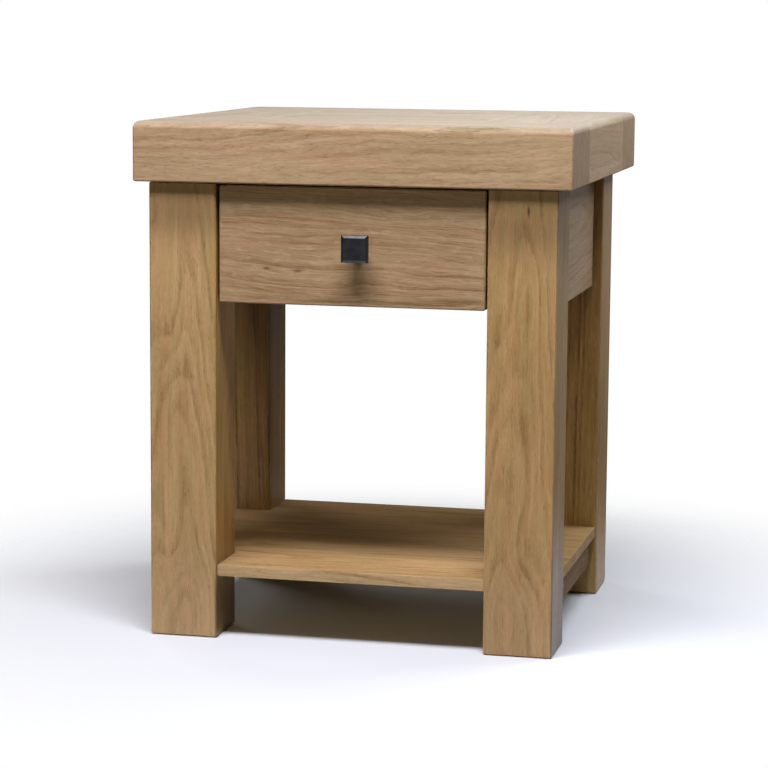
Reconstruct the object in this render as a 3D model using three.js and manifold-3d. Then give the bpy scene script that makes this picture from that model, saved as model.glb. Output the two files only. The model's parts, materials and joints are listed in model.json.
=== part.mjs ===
// Side table in thick oak: a framed top, four legs, one drawer and a low shelf.
// Millimetres, +Z up. The front, with the drawer, faces -Y and +X is to its right.
// The origin is on the floor, midway across the width and midway between knob and rear edge.
import * as THREE from 'three';
import { ConvexGeometry } from 'three/addons/geometries/ConvexGeometry.js';
import { mergeVertices } from 'three/addons/utils/BufferGeometryUtils.js';
import Module from 'manifold-3d';

const wasm = await Module();
wasm.setup();

// ---------------------------------------------------------------- driving dimensions
const WIDTH = 500;               // top, left to right
const DEPTH = 494;               // top, front to back
const HEIGHT = 590;              // floor to top surface
const GAP = 0.3;                 // open joint line between any two pieces
const EASE = 1.5;                // chamfer on the arrises of top, legs, battens and drawer front
const RAIL_EASE = 1;             // chamfer on aprons, rails, runners, guides, kickers and stops
const SHELF_EASE = 0.4;          // chamfer on the shelf boards
const PAST = 10;                 // cutting blocks run past what they cut by this much

const TOP_THICK = 68;
const TOP_EDGE_R = 8;            // round on the upper outer edge of the top
const TOP_ARC_STEPS = 5;
const TOP_FRONT_BOARD = 117;     // depth of the full-width front board
const TOP_REAR_BOARD = 112;
const TOP_SIDE_BOARD = 125;      // width of the board between them at each end
const TOP_STRIP_THICK = 12;      // packing strip under each side board
const TOP_CENTRE_THICK = 28;
const TOP_CENTRE_BOARDS = 3;
const BATTEN_WIDE = 40;
const BATTEN_X = 70;             // battens' distance from the middle

const LEG_SPREAD = 233.5;        // middle to the legs' outer faces
const LEG_DEEP = 77;
const LEG_FRONT_WIDE = 78;
const LEG_REAR_WIDE = 47;
const FRONT_OVERHANG = 8;        // top past the front legs
const REAR_OVERHANG = 72;        // top past the rear legs
const GLIDE_R = 12;
const GLIDE_THICK = 3;
const GLIDE_PROUD = 0.7;         // the rest of it sits in a pocket in the leg
const GLIDE_SIDES = 24;

const RAIL_THICK = 22;           // aprons and shelf rails
const APRON_INSET = 11.5;        // apron back from the legs' outer faces
const APRON_BOTTOM = 384;
const TENON_LONG = 22;
const TENON_THICK = 10;
const APRON_SHOULDER = 14;       // apron above and below its tenon
const SHELF_RAIL_INSET = 9;
const SHELF_RAIL_TALL = 34;
const SHELF_RAIL_SHOULDER = 7;

const SHELF_TOP = 85;
const SHELF_THICK = 13;
const SHELF_FRONT_INSET = 4;     // shelf edge back from the front legs' faces
const SHELF_SIDE_INSET = 3;
const SHELF_BOARDS = 4;

const DRAWER_BOTTOM = 387;       // underside of the drawer front
const DRAWER_SIDE_GAP = 3;       // between drawer front and each leg
const DRAWER_TOP_GAP = 2.5;
const DRAWER_INSET = 4.5;        // drawer front back from the legs' faces
const DRAWER_FRONT_THICK = 22;
const DRAWER_WALL = 12;
const DRAWER_SIDE_LOW = 410;
const DRAWER_SIDE_HIGH = 500;
const DRAWER_REACH = 360;        // legs' front faces to the back end of the drawer
const DRAWER_BACK_CLEAR = 10;    // sides run on this far behind the drawer back
const DRAWER_BACK_STEP = 4;      // drawer back's top edge below that of the sides
const BOTTOM_THICK = 6;
const BOTTOM_LIFT = 6;           // drawer bottom above the lower edge of the sides
const GROOVE = 5;                // depth of the grooves that hold bottom and back
const DOVETAIL_LONG = 15;
const DOVETAIL_HALF = 9;         // half the width of a tail at its root
const DOVETAIL_FLARE = 2;        // extra half width at its tip
const DOVETAIL_PITCH = 30;

const FRAME_RAIL_THICK = 18;     // flat rails, kickers and runners round the drawer
const FRAME_RAIL_SETBACK = 28;   // flat rails start this far behind the legs' faces
const FRAME_TENON_EDGE = 8;      // front rails in front of and behind their tenons
const FRAME_TENON_CHEEK = 4;     // front rails above and below their tenons
const RUNNER_INNER = 130;        // runners and kickers reach in to this distance
const GUIDE_TALL = 15;
const GUIDE_CLEAR = 1;           // guide to drawer side
const STOP_TALL = 30;
const STOP_WIDE = 20;

const KNOB_SIZE = 31;            // square head
const KNOB_X = 9;                // the knob sits right of the middle
const KNOB_BEVEL = 3.5;
const KNOB_BEVEL_DEEP = 2;
const KNOB_EDGE = 4;             // straight edge of the head
const KNOB_TAPER = 6;            // depth over which the head narrows to the neck
const KNOB_NECK = 13;
const KNOB_PROJECTION = 22;      // from the drawer front to the knob's face

const SCREW_SIDES = 16;
const WOOD_SCREW = { head: 4, headDeep: 3, shank: 2, tip: 5 };      // radii and depths
const PANEL_SCREW = { head: 3, headDeep: 2, shank: 1.5, tip: 3 };
const PAN_SCREW = { head: 4.5, headDeep: 2.5, crown: 1, shank: 2 };
const TOP_SCREW_LONG = 45;
const TOP_SCREW_SINK = 2;        // head above the underside of the rail or kicker it goes through
const TOP_SCREW_FRONT_X = 100;
const TOP_SCREW_FRONT_Y = 52;    // behind the legs' front faces
const TOP_SCREW_MIDDLE_Y = 60;   // behind the front legs
const TOP_SCREW_REAR_Y = 40;     // in front of the rear legs
const SHELF_SCREW_LONG = 38;
const SHELF_SCREW_SINK = 3;
const SHELF_SCREW_Y = 50;        // in from the legs at each end of the rail
const BOTTOM_SCREW_LONG = 18;
const BOTTOM_SCREW_X = 80;
const KNOB_SCREW_BITE = 10;      // shank inside the knob

// ---------------------------------------------------------------- derived places
const knobProud = KNOB_PROJECTION - DRAWER_INSET - FRONT_OVERHANG;
const topFront = -(DEPTH - knobProud) / 2;
const topRear = topFront + DEPTH;
const topUnder = HEIGHT - TOP_THICK;
const legFront = topFront + FRONT_OVERHANG;
const legRear = topRear - REAR_OVERHANG;
const bayFront = legFront + LEG_DEEP;
const bayRear = legRear - LEG_DEEP;
const frontLegInner = LEG_SPREAD - LEG_FRONT_WIDE;
const rearLegInner = LEG_SPREAD - LEG_REAR_WIDE;
const apronOuter = LEG_SPREAD - APRON_INSET;
const apronInner = apronOuter - RAIL_THICK;
const shelfUnder = SHELF_TOP - SHELF_THICK;
const drawerHalf = frontLegInner - DRAWER_SIDE_GAP;
const drawerFace = legFront + DRAWER_INSET;
const drawerFaceBack = drawerFace + DRAWER_FRONT_THICK;
const drawerEnd = legFront + DRAWER_REACH;
const drawerFrontTop = topUnder - DRAWER_TOP_GAP;
const bottomLow = DRAWER_SIDE_LOW + BOTTOM_LIFT;
const bottomHigh = bottomLow + BOTTOM_THICK;
const runnerTop = DRAWER_SIDE_LOW - GAP;
const knobZ = (DRAWER_BOTTOM + drawerFrontTop) / 2;

// ---------------------------------------------------------------- materials
const finish = (color, roughness, metalness) =>
  new THREE.MeshStandardMaterial({ color, roughness, metalness });
const oakTop = finish(0xb5977a, 0.5, 0);
const oakLeg = finish(0xa4804f, 0.5, 0);
const oakFront = finish(0x9c8063, 0.5, 0);
const oakShelf = finish(0xa6875e, 0.5, 0);
const pine = finish(0xc9ad7c, 0.7, 0);
const plywood = finish(0xcdb48a, 0.7, 0);
const darkIron = finish(0x2c2c2f, 0.4, 0.8);
const zinc = finish(0xb9b7ae, 0.35, 0.9);
const nylon = finish(0x3a332b, 0.8, 0);

// ---------------------------------------------------------------- solids
// Spans are [low, high] pairs along X, Y and Z.
const mirrored = ([low, high], side) => (side > 0 ? [low, high] : [-high, -low]);
const grown = ([low, high], by) => [low - by, high + by];
const middle = ([low, high]) => (low + high) / 2;

function block(x, y, z) {
  const geometry = new THREE.BoxGeometry(x[1] - x[0], y[1] - y[0], z[1] - z[0]);
  return geometry.translate(middle(x), middle(y), middle(z));
}

// A box whose twelve arrises are chamfered: the hull of its six shrunken faces.
function easedBlock(x, y, z, ease = EASE) {
  const points = [];
  for (const px of [0, 1]) {
    for (const py of [0, 1]) {
      for (const pz of [0, 1]) {
        const inX = x[px] + ease * (1 - 2 * px);
        const inY = y[py] + ease * (1 - 2 * py);
        const inZ = z[pz] + ease * (1 - 2 * pz);
        points.push(new THREE.Vector3(x[px], inY, inZ));
        points.push(new THREE.Vector3(inX, y[py], inZ));
        points.push(new THREE.Vector3(inX, inY, z[pz]));
      }
    }
  }
  return new ConvexGeometry(points);
}

// An outline in the Y-Z plane, run along X.
function plate(outline, x) {
  const shape = new THREE.Shape(outline.map(([y, z]) => new THREE.Vector2(y, z)));
  const geometry = new THREE.ExtrudeGeometry(shape, { depth: x[1] - x[0], bevelEnabled: false });
  const axes = new THREE.Matrix4().makeBasis(
    new THREE.Vector3(0, 1, 0),
    new THREE.Vector3(0, 0, 1),
    new THREE.Vector3(1, 0, 0),
  );
  return geometry.applyMatrix4(axes).translate(x[0], 0, 0);
}

function toSolid(geometry) {
  const bare = geometry.clone();
  bare.deleteAttribute('normal');
  bare.deleteAttribute('uv');
  const welded = mergeVertices(bare);
  const mesh = new wasm.Mesh({
    numProp: 3,
    vertProperties: new Float32Array(welded.attributes.position.array),
    triVerts: new Uint32Array(welded.index.array),
  });
  return new wasm.Manifold(mesh);
}

function toGeometry(solid) {
  const { vertProperties, triVerts } = solid.getMesh();
  const geometry = new THREE.BufferGeometry();
  geometry.setAttribute('position', new THREE.BufferAttribute(vertProperties, 3));
  geometry.setIndex(new THREE.BufferAttribute(triVerts, 1));
  return geometry;
}

function cut(geometry, tools) {
  let solid = toSolid(geometry);
  for (const tool of tools) {
    solid = solid.subtract(toSolid(tool));
  }
  return toGeometry(solid);
}

function join(geometry, parts) {
  let solid = toSolid(geometry);
  for (const part of parts) {
    solid = solid.add(toSolid(part));
  }
  return toGeometry(solid);
}

function common(geometry, other) {
  return toGeometry(toSolid(geometry).intersect(toSolid(other)));
}

// ---------------------------------------------------------------- screws
// A countersunk wood screw: its profile runs from the head's face up to the point. With some
// spare it is the hole round the screw, whose mouth runs on below the head.
function screwProfile(kind, length, spare) {
  const mouth = spare > 0 ? -PAST : 0;
  return [
    [0, mouth],
    [kind.head + spare, mouth],
    [kind.head + spare, 0],
    [kind.shank + spare, kind.headDeep],
    [kind.shank + spare, length - kind.tip],
    [0, length + spare],
  ].map(([r, y]) => new THREE.Vector2(r, y));
}

// spare = 0 gives the screw, spare = GAP the hole it goes in.
function screwUp(kind, length, x, y, z, spare = 0) {
  const profile = screwProfile(kind, length, spare);
  const points = spare > 0 ? profile : [profile[0], ...profile.slice(2)];
  const lathe = new THREE.LatheGeometry(points, SCREW_SIDES);
  return lathe.rotateX(Math.PI / 2).translate(x, y, z);
}

// ---------------------------------------------------------------- assembly
const table = new THREE.Group();

function add(name, geometry, material) {
  const mesh = new THREE.Mesh(geometry, material);
  mesh.name = name;
  table.add(mesh);
}

const SIDES = [['left', -1], ['right', 1]];

// Screws that hold the top down: two up through the front rail, two through each kicker.
const kickerLow = topUnder - GAP - FRAME_RAIL_THICK;
const kickerMiddle = (RUNNER_INNER + apronInner) / 2;
const topScrews = [];
for (const [side, sign] of SIDES) {
  const rows = [
    ['front', TOP_SCREW_FRONT_X, legFront + TOP_SCREW_FRONT_Y],
    ['middle', kickerMiddle, bayFront + TOP_SCREW_MIDDLE_Y],
    ['rear', kickerMiddle, bayRear - TOP_SCREW_REAR_Y],
  ];
  for (const [row, x, y] of rows) {
    topScrews.push({ name: `top_screw_${row}_${side}`, x: sign * x, y });
  }
}
const topScrew = (at, spare) =>
  screwUp(WOOD_SCREW, TOP_SCREW_LONG, at.x, at.y, kickerLow + TOP_SCREW_SINK, spare);
const topScrewHoles = topScrews.map((at) => topScrew(at, GAP));

// Screws up through the shelf rails into the shelf.
const shelfRailLow = shelfUnder - GAP - SHELF_RAIL_TALL;
const shelfRailOuter = LEG_SPREAD - SHELF_RAIL_INSET;
const shelfRailMiddle = shelfRailOuter - RAIL_THICK / 2;
const shelfScrews = [];
for (const [side, sign] of SIDES) {
  for (const [row, y] of [['front', bayFront + SHELF_SCREW_Y], ['rear', bayRear - SHELF_SCREW_Y]]) {
    shelfScrews.push({ name: `shelf_screw_${row}_${side}`, x: sign * shelfRailMiddle, y });
  }
}
const shelfScrew = (at, spare) =>
  screwUp(WOOD_SCREW, SHELF_SCREW_LONG, at.x, at.y, shelfRailLow + SHELF_SCREW_SINK, spare);
const shelfScrewHoles = shelfScrews.map((at) => shelfScrew(at, GAP));

// ---------------------------------------------------------------- the top
// The whole slab is the hull of chamfered rectangles, each smaller as the edge rounds over.
function slab() {
  const rings = [[EASE, topUnder], [0, topUnder + EASE]];
  for (let step = 0; step <= TOP_ARC_STEPS; step += 1) {
    const angle = (step / TOP_ARC_STEPS) * (Math.PI / 2);
    const inset = TOP_EDGE_R * (1 - Math.cos(angle));
    rings.push([inset, HEIGHT - TOP_EDGE_R + TOP_EDGE_R * Math.sin(angle)]);
  }
  const points = [];
  for (const [inset, z] of rings) {
    const halfX = WIDTH / 2 - inset;
    const halfY = DEPTH / 2 - inset;
    for (const sx of [-1, 1]) {
      for (const sy of [-1, 1]) {
        points.push(new THREE.Vector3(sx * halfX, sy * (halfY - EASE), z));
        points.push(new THREE.Vector3(sx * (halfX - EASE), sy * halfY, z));
      }
    }
  }
  return new ConvexGeometry(points).translate(0, (topFront + topRear) / 2, 0);
}

const wholeTop = slab();
const frontSeam = topFront + TOP_FRONT_BOARD;
const rearSeam = topRear - TOP_REAR_BOARD;
const sideSeam = WIDTH / 2 - TOP_SIDE_BOARD;
const half = GAP / 2;
const fullX = [-WIDTH / 2 - PAST, WIDTH / 2 + PAST];
const fullZ = [topUnder - PAST, HEIGHT + PAST];
const topPiece = (x, y, z) => cut(common(wholeTop, block(x, y, z)), topScrewHoles);

add('top_front_board', topPiece(fullX, [topFront - PAST, frontSeam - half], fullZ), oakTop);
add('top_rear_board', topPiece(fullX, [rearSeam + half, topRear + PAST], fullZ), oakTop);

const betweenSeams = [frontSeam + half, rearSeam - half];
const stripTop = topUnder + TOP_STRIP_THICK;
for (const [side, sign] of SIDES) {
  const x = mirrored([sideSeam + half, WIDTH / 2 + PAST], sign);
  const upper = topPiece(x, betweenSeams, [stripTop + half, HEIGHT + PAST]);
  const lower = topPiece(x, betweenSeams, [topUnder - PAST, stripTop - half]);
  add(`top_side_board_${side}`, upper, oakTop);
  add(`top_side_strip_${side}`, lower, oakTop);
}

const centreLow = HEIGHT - TOP_CENTRE_THICK;
const centrePitch = (rearSeam - frontSeam) / TOP_CENTRE_BOARDS;
for (let i = 0; i < TOP_CENTRE_BOARDS; i += 1) {
  const y = grown([frontSeam + i * centrePitch, frontSeam + (i + 1) * centrePitch], -half);
  const x = [-sideSeam + half, sideSeam - half];
  add(`top_centre_board_${i + 1}`, topPiece(x, y, [centreLow, HEIGHT + PAST]), oakTop);
}

for (const [side, sign] of SIDES) {
  const x = mirrored([BATTEN_X - BATTEN_WIDE / 2, BATTEN_X + BATTEN_WIDE / 2], sign);
  add(`top_batten_${side}`, easedBlock(x, betweenSeams, [topUnder + GAP, centreLow - GAP]), pine);
}

// ---------------------------------------------------------------- rails with tenons
// Each rail is a body between shoulders and a thinner tenon through it; the legs are cut with
// the same tenons grown by the joint gap.
const mortises = [];

function railAlongY(x, z, shoulder) {
  const body = easedBlock(x, grown([bayFront, bayRear], -GAP), z, RAIL_EASE);
  const tenonX = grown(x, -(RAIL_THICK - TENON_THICK) / 2);
  const tenonY = grown([bayFront, bayRear], TENON_LONG);
  const tenonZ = grown(z, -shoulder);
  mortises.push(block(grown(tenonX, GAP), grown(tenonY, GAP), grown(tenonZ, GAP)));
  return join(body, [block(tenonX, tenonY, tenonZ)]);
}

function railAlongX(halfSpan, y, z, shoulderY, shoulderZ) {
  const body = easedBlock([-halfSpan + GAP, halfSpan - GAP], y, z, RAIL_EASE);
  const tenonX = [-halfSpan - TENON_LONG, halfSpan + TENON_LONG];
  const tenonY = grown(y, -shoulderY);
  const tenonZ = grown(z, -shoulderZ);
  mortises.push(block(grown(tenonX, GAP), grown(tenonY, GAP), grown(tenonZ, GAP)));
  return join(body, [block(tenonX, tenonY, tenonZ)]);
}

const apronZ = [APRON_BOTTOM, topUnder - GAP];
const shelfRailZ = [shelfRailLow, shelfUnder - GAP];
for (const [side, sign] of SIDES) {
  const apronX = mirrored([apronInner, apronOuter], sign);
  add(`apron_${side}`, railAlongY(apronX, apronZ, APRON_SHOULDER), oakFront);
  const railX = mirrored([shelfRailOuter - RAIL_THICK, shelfRailOuter], sign);
  const rail = railAlongY(railX, shelfRailZ, SHELF_RAIL_SHOULDER);
  add(`shelf_rail_${side}`, cut(rail, shelfScrewHoles), oakLeg);
}

const rearApronY = [legRear - APRON_INSET - RAIL_THICK, legRear - APRON_INSET];
const cheek = (RAIL_THICK - TENON_THICK) / 2;
add('apron_rear', railAlongX(rearLegInner, rearApronY, apronZ, cheek, APRON_SHOULDER), oakFront);

const frameRailY = [legFront + FRAME_RAIL_SETBACK, bayFront];
const upperRailZ = [kickerLow, topUnder - GAP];
const lowerRailZ = [runnerTop - FRAME_RAIL_THICK, runnerTop];
const frameRail = (z) =>
  railAlongX(frontLegInner, frameRailY, z, FRAME_TENON_EDGE, FRAME_TENON_CHEEK);
add('front_rail_upper', cut(frameRail(upperRailZ), topScrewHoles), pine);
add('front_rail_lower', frameRail(lowerRailZ), pine);

// ---------------------------------------------------------------- legs and glides
const legZ = [GLIDE_PROUD, topUnder - GAP];
const legs = [
  { row: 'front', wide: LEG_FRONT_WIDE, y: [legFront, bayFront] },
  { row: 'rear', wide: LEG_REAR_WIDE, y: [bayRear, legRear] },
];

// A glide standing on the floor, grown by spare: with a gap all round it is the leg's pocket.
function glideDisc(x, y, spare) {
  const radius = GLIDE_R + spare;
  const tall = GLIDE_THICK + spare;
  const disc = new THREE.CylinderGeometry(radius, radius, tall, GLIDE_SIDES);
  return disc.rotateX(Math.PI / 2).translate(middle(x), middle(y), tall / 2);
}

for (const { row, wide, y } of legs) {
  for (const [side, sign] of SIDES) {
    const x = mirrored([LEG_SPREAD - wide, LEG_SPREAD], sign);
    const hollows = [...mortises, glideDisc(x, y, GAP)];
    add(`leg_${row}_${side}`, cut(easedBlock(x, y, legZ), hollows), oakLeg);
    add(`glide_${row}_${side}`, glideDisc(x, y, 0), nylon);
  }
}

// ---------------------------------------------------------------- shelf
// Boards run left to right; the first and last are notched round the legs.
const shelfX = [-LEG_SPREAD + SHELF_SIDE_INSET, LEG_SPREAD - SHELF_SIDE_INSET];
const shelfFront = legFront + SHELF_FRONT_INSET;
const shelfPitch = (legRear - shelfFront) / SHELF_BOARDS;
const legNotches = [];
for (const { wide, y } of legs) {
  for (const [, sign] of SIDES) {
    const x = mirrored([LEG_SPREAD - wide - GAP, LEG_SPREAD + PAST], sign);
    const front = y[0] === legFront ? y[0] - PAST : y[0] - GAP;
    const rear = y[1] === legRear ? y[1] + PAST : y[1] + GAP;
    legNotches.push(block(x, [front, rear], grown([shelfUnder, SHELF_TOP], PAST)));
  }
}
for (let i = 0; i < SHELF_BOARDS; i += 1) {
  const y = [shelfFront + i * shelfPitch, shelfFront + (i + 1) * shelfPitch];
  y[0] += i > 0 ? half : 0;
  y[1] -= i < SHELF_BOARDS - 1 ? half : 0;
  const board = easedBlock(shelfX, y, [shelfUnder, SHELF_TOP], SHELF_EASE);
  add(`shelf_board_${i + 1}`, cut(board, [...legNotches, ...shelfScrewHoles]), oakShelf);
}

// ---------------------------------------------------------------- runners, guides, kickers, stops
const runnerY = grown([bayFront, bayRear], -GAP);
for (const [side, sign] of SIDES) {
  const wideX = mirrored([RUNNER_INNER, apronInner - GAP], sign);
  const guideX = mirrored([drawerHalf + GUIDE_CLEAR, apronInner - GAP], sign);
  const stopX = mirrored([drawerHalf - DRAWER_WALL, drawerHalf - DRAWER_WALL + STOP_WIDE], sign);
  const guideZ = [runnerTop + GAP, runnerTop + GAP + GUIDE_TALL];
  const stopY = [drawerEnd + GUIDE_CLEAR, rearApronY[0] - GAP];
  const stopZ = grown([knobZ, knobZ], STOP_TALL / 2);
  const kicker = easedBlock(wideX, runnerY, upperRailZ, RAIL_EASE);
  add(`runner_${side}`, easedBlock(wideX, runnerY, lowerRailZ, RAIL_EASE), pine);
  add(`guide_${side}`, easedBlock(guideX, runnerY, guideZ, RAIL_EASE), pine);
  add(`kicker_${side}`, cut(kicker, topScrewHoles), pine);
  add(`drawer_stop_${side}`, easedBlock(stopX, stopY, stopZ, RAIL_EASE), pine);
}

// ---------------------------------------------------------------- drawer
const sideInner = drawerHalf - DRAWER_WALL;
const sideMiddleZ = (DRAWER_SIDE_LOW + DRAWER_SIDE_HIGH) / 2;
const tailCentres = [-1, 0, 1].map((i) => sideMiddleZ + i * DOVETAIL_PITCH);

// One dovetail, root at the back face of the drawer front and wider at its tip.
function tail(centre, spare) {
  const tip = drawerFaceBack - DOVETAIL_LONG;
  const root = DOVETAIL_HALF + spare;
  const flared = root + DOVETAIL_FLARE;
  return [
    [drawerFaceBack + spare, centre + root],
    [tip - spare, centre + flared],
    [tip - spare, centre - flared],
    [drawerFaceBack + spare, centre - root],
  ];
}

function sideOutline() {
  const rootY = drawerFaceBack + GAP;
  const outline = [[rootY, DRAWER_SIDE_LOW], [drawerEnd, DRAWER_SIDE_LOW]];
  outline.push([drawerEnd, DRAWER_SIDE_HIGH], [rootY, DRAWER_SIDE_HIGH]);
  for (const centre of [...tailCentres].reverse()) {
    const [upperRoot, upperTip, lowerTip, lowerRoot] = tail(centre, 0);
    outline.push([rootY, upperRoot[1]], upperTip, lowerTip, [rootY, lowerRoot[1]]);
  }
  return outline;
}

const bottomX = [-sideInner - GROOVE + GAP, sideInner + GROOVE - GAP];
const bottomY = [drawerFaceBack - GROOVE, drawerEnd - DRAWER_BACK_CLEAR];
const bottomZ = [bottomLow, bottomHigh];
const groove = (rear) => block(grown(bottomX, GAP), [bottomY[0] - GAP, rear], grown(bottomZ, GAP));
const sideGroove = groove(drawerEnd + PAST);
const frontGroove = groove(drawerFaceBack + PAST);
const backX = grown([-sideInner, sideInner], GROOVE - GAP);
const backY = [bottomY[1] - DRAWER_WALL, bottomY[1]];
const backZ = [bottomHigh + GAP, DRAWER_SIDE_HIGH - DRAWER_BACK_STEP];
const housingZ = [bottomHigh, DRAWER_SIDE_HIGH + PAST];
const backHousing = block(grown(backX, GAP), grown(backY, GAP), housingZ);

const bottomScrews = SIDES.map(
  ([side, sign]) => ({ side, x: sign * BOTTOM_SCREW_X, y: middle(backY) }),
);
const bottomScrew = (at, spare) =>
  screwUp(PANEL_SCREW, BOTTOM_SCREW_LONG, at.x, at.y, bottomLow, spare);
const bottomScrewHoles = bottomScrews.map((at) => bottomScrew(at, GAP));

// Knob screw: a pan head on the inside of the drawer front and a shank into the knob's neck.
function knobScrew(spare) {
  const { head, headDeep, crown, shank } = PAN_SCREW;
  const headFace = -headDeep - GAP;
  const tip = DRAWER_FRONT_THICK + KNOB_SCREW_BITE;
  const profile = [
    [0, headFace],
    [head - crown, headFace],
    [head, headFace + crown],
    [head, -GAP],
    [shank, -GAP],
    [shank, tip],
    [0, tip],
  ];
  const bore = [
    [0, headFace],
    [shank + spare, headFace],
    [shank + spare, tip + spare],
    [0, tip + spare],
  ];
  const points = (spare > 0 ? bore : profile).map(([r, y]) => new THREE.Vector2(r, y));
  const lathe = new THREE.LatheGeometry(points, SCREW_SIDES);
  return lathe.rotateZ(Math.PI).translate(KNOB_X, drawerFaceBack, knobZ);
}
const knobBore = knobScrew(GAP);

const sockets = [];
for (const [side, sign] of SIDES) {
  for (const centre of tailCentres) {
    sockets.push(plate(tail(centre, GAP), mirrored([sideInner - GAP, drawerHalf + PAST], sign)));
  }
  const wall = plate(sideOutline(), mirrored([sideInner, drawerHalf], sign));
  add(`drawer_side_${side}`, cut(wall, [sideGroove, backHousing]), pine);
}

const frontPanel = easedBlock(
  [-drawerHalf, drawerHalf],
  [drawerFace, drawerFaceBack],
  [DRAWER_BOTTOM, drawerFrontTop],
);
add('drawer_front', cut(frontPanel, [...sockets, frontGroove, knobBore]), oakFront);
add('drawer_back', cut(block(backX, backY, backZ), bottomScrewHoles), pine);
add('drawer_bottom', cut(block(bottomX, bottomY, bottomZ), bottomScrewHoles), plywood);

// ---------------------------------------------------------------- knob
// Square head with a bevelled face, tapering behind to a square neck.
function knobBody() {
  const face = drawerFace - KNOB_PROJECTION;
  const edgeFront = face + KNOB_BEVEL_DEEP;
  const edgeBack = edgeFront + KNOB_EDGE;
  const rings = [
    [KNOB_SIZE / 2 - KNOB_BEVEL, face],
    [KNOB_SIZE / 2, edgeFront],
    [KNOB_SIZE / 2, edgeBack],
    [KNOB_NECK / 2, edgeBack + KNOB_TAPER],
  ];
  const corners = ([r, y]) => [[-r, -r], [r, -r], [r, r], [-r, r]].map(
    ([x, z]) => new THREE.Vector3(KNOB_X + x, y, knobZ + z),
  );
  const head = new ConvexGeometry(rings.flatMap(corners));
  const neckX = grown([KNOB_X, KNOB_X], KNOB_NECK / 2);
  const neckZ = grown([knobZ, knobZ], KNOB_NECK / 2);
  const neck = block(neckX, [edgeFront, drawerFace - GAP], neckZ);
  return cut(join(head, [neck]), [knobBore]);
}
add('knob', knobBody(), darkIron);
add('knob_screw', knobScrew(0), zinc);

// ---------------------------------------------------------------- screws in place
for (const at of topScrews) {
  add(at.name, topScrew(at, 0), zinc);
}
for (const at of shelfScrews) {
  add(at.name, shelfScrew(at, 0), zinc);
}
for (const at of bottomScrews) {
  add(`drawer_bottom_screw_${at.side}`, bottomScrew(at, 0), zinc);
}

export default table;
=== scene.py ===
# Side table in thick oak, with one drawer and a low shelf: finishes, fine pieces, light and camera.
# Objects are in metres in the model's own frame; wood is laid out in millimetres along its grain.
import json
import math

import bmesh
import bpy
from mathutils import Matrix, Vector

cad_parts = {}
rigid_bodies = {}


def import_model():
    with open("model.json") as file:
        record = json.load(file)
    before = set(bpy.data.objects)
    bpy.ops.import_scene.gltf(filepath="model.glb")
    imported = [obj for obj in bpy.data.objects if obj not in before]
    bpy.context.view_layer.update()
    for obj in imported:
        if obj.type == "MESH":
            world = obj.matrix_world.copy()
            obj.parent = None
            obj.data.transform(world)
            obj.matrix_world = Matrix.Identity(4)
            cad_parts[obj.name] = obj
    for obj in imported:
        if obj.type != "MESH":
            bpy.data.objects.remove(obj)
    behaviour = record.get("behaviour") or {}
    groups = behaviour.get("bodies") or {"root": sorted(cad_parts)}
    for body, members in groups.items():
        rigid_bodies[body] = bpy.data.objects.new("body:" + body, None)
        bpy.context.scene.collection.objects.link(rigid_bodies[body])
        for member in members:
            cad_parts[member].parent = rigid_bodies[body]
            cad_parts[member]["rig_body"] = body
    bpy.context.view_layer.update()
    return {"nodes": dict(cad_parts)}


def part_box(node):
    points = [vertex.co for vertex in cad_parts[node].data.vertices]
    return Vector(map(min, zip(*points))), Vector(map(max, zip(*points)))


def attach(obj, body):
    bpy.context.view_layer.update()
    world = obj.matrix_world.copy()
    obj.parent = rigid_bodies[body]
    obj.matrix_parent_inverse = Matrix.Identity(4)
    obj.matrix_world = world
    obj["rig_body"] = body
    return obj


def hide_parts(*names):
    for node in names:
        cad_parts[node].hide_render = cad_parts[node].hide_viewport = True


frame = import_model()

MM = 0.001
UP = Vector((0, 0, 1))
FLOAT = "NodeSocketFloat"
VECTOR = "NodeSocketVector"
COLOR = "NodeSocketColor"


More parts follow.
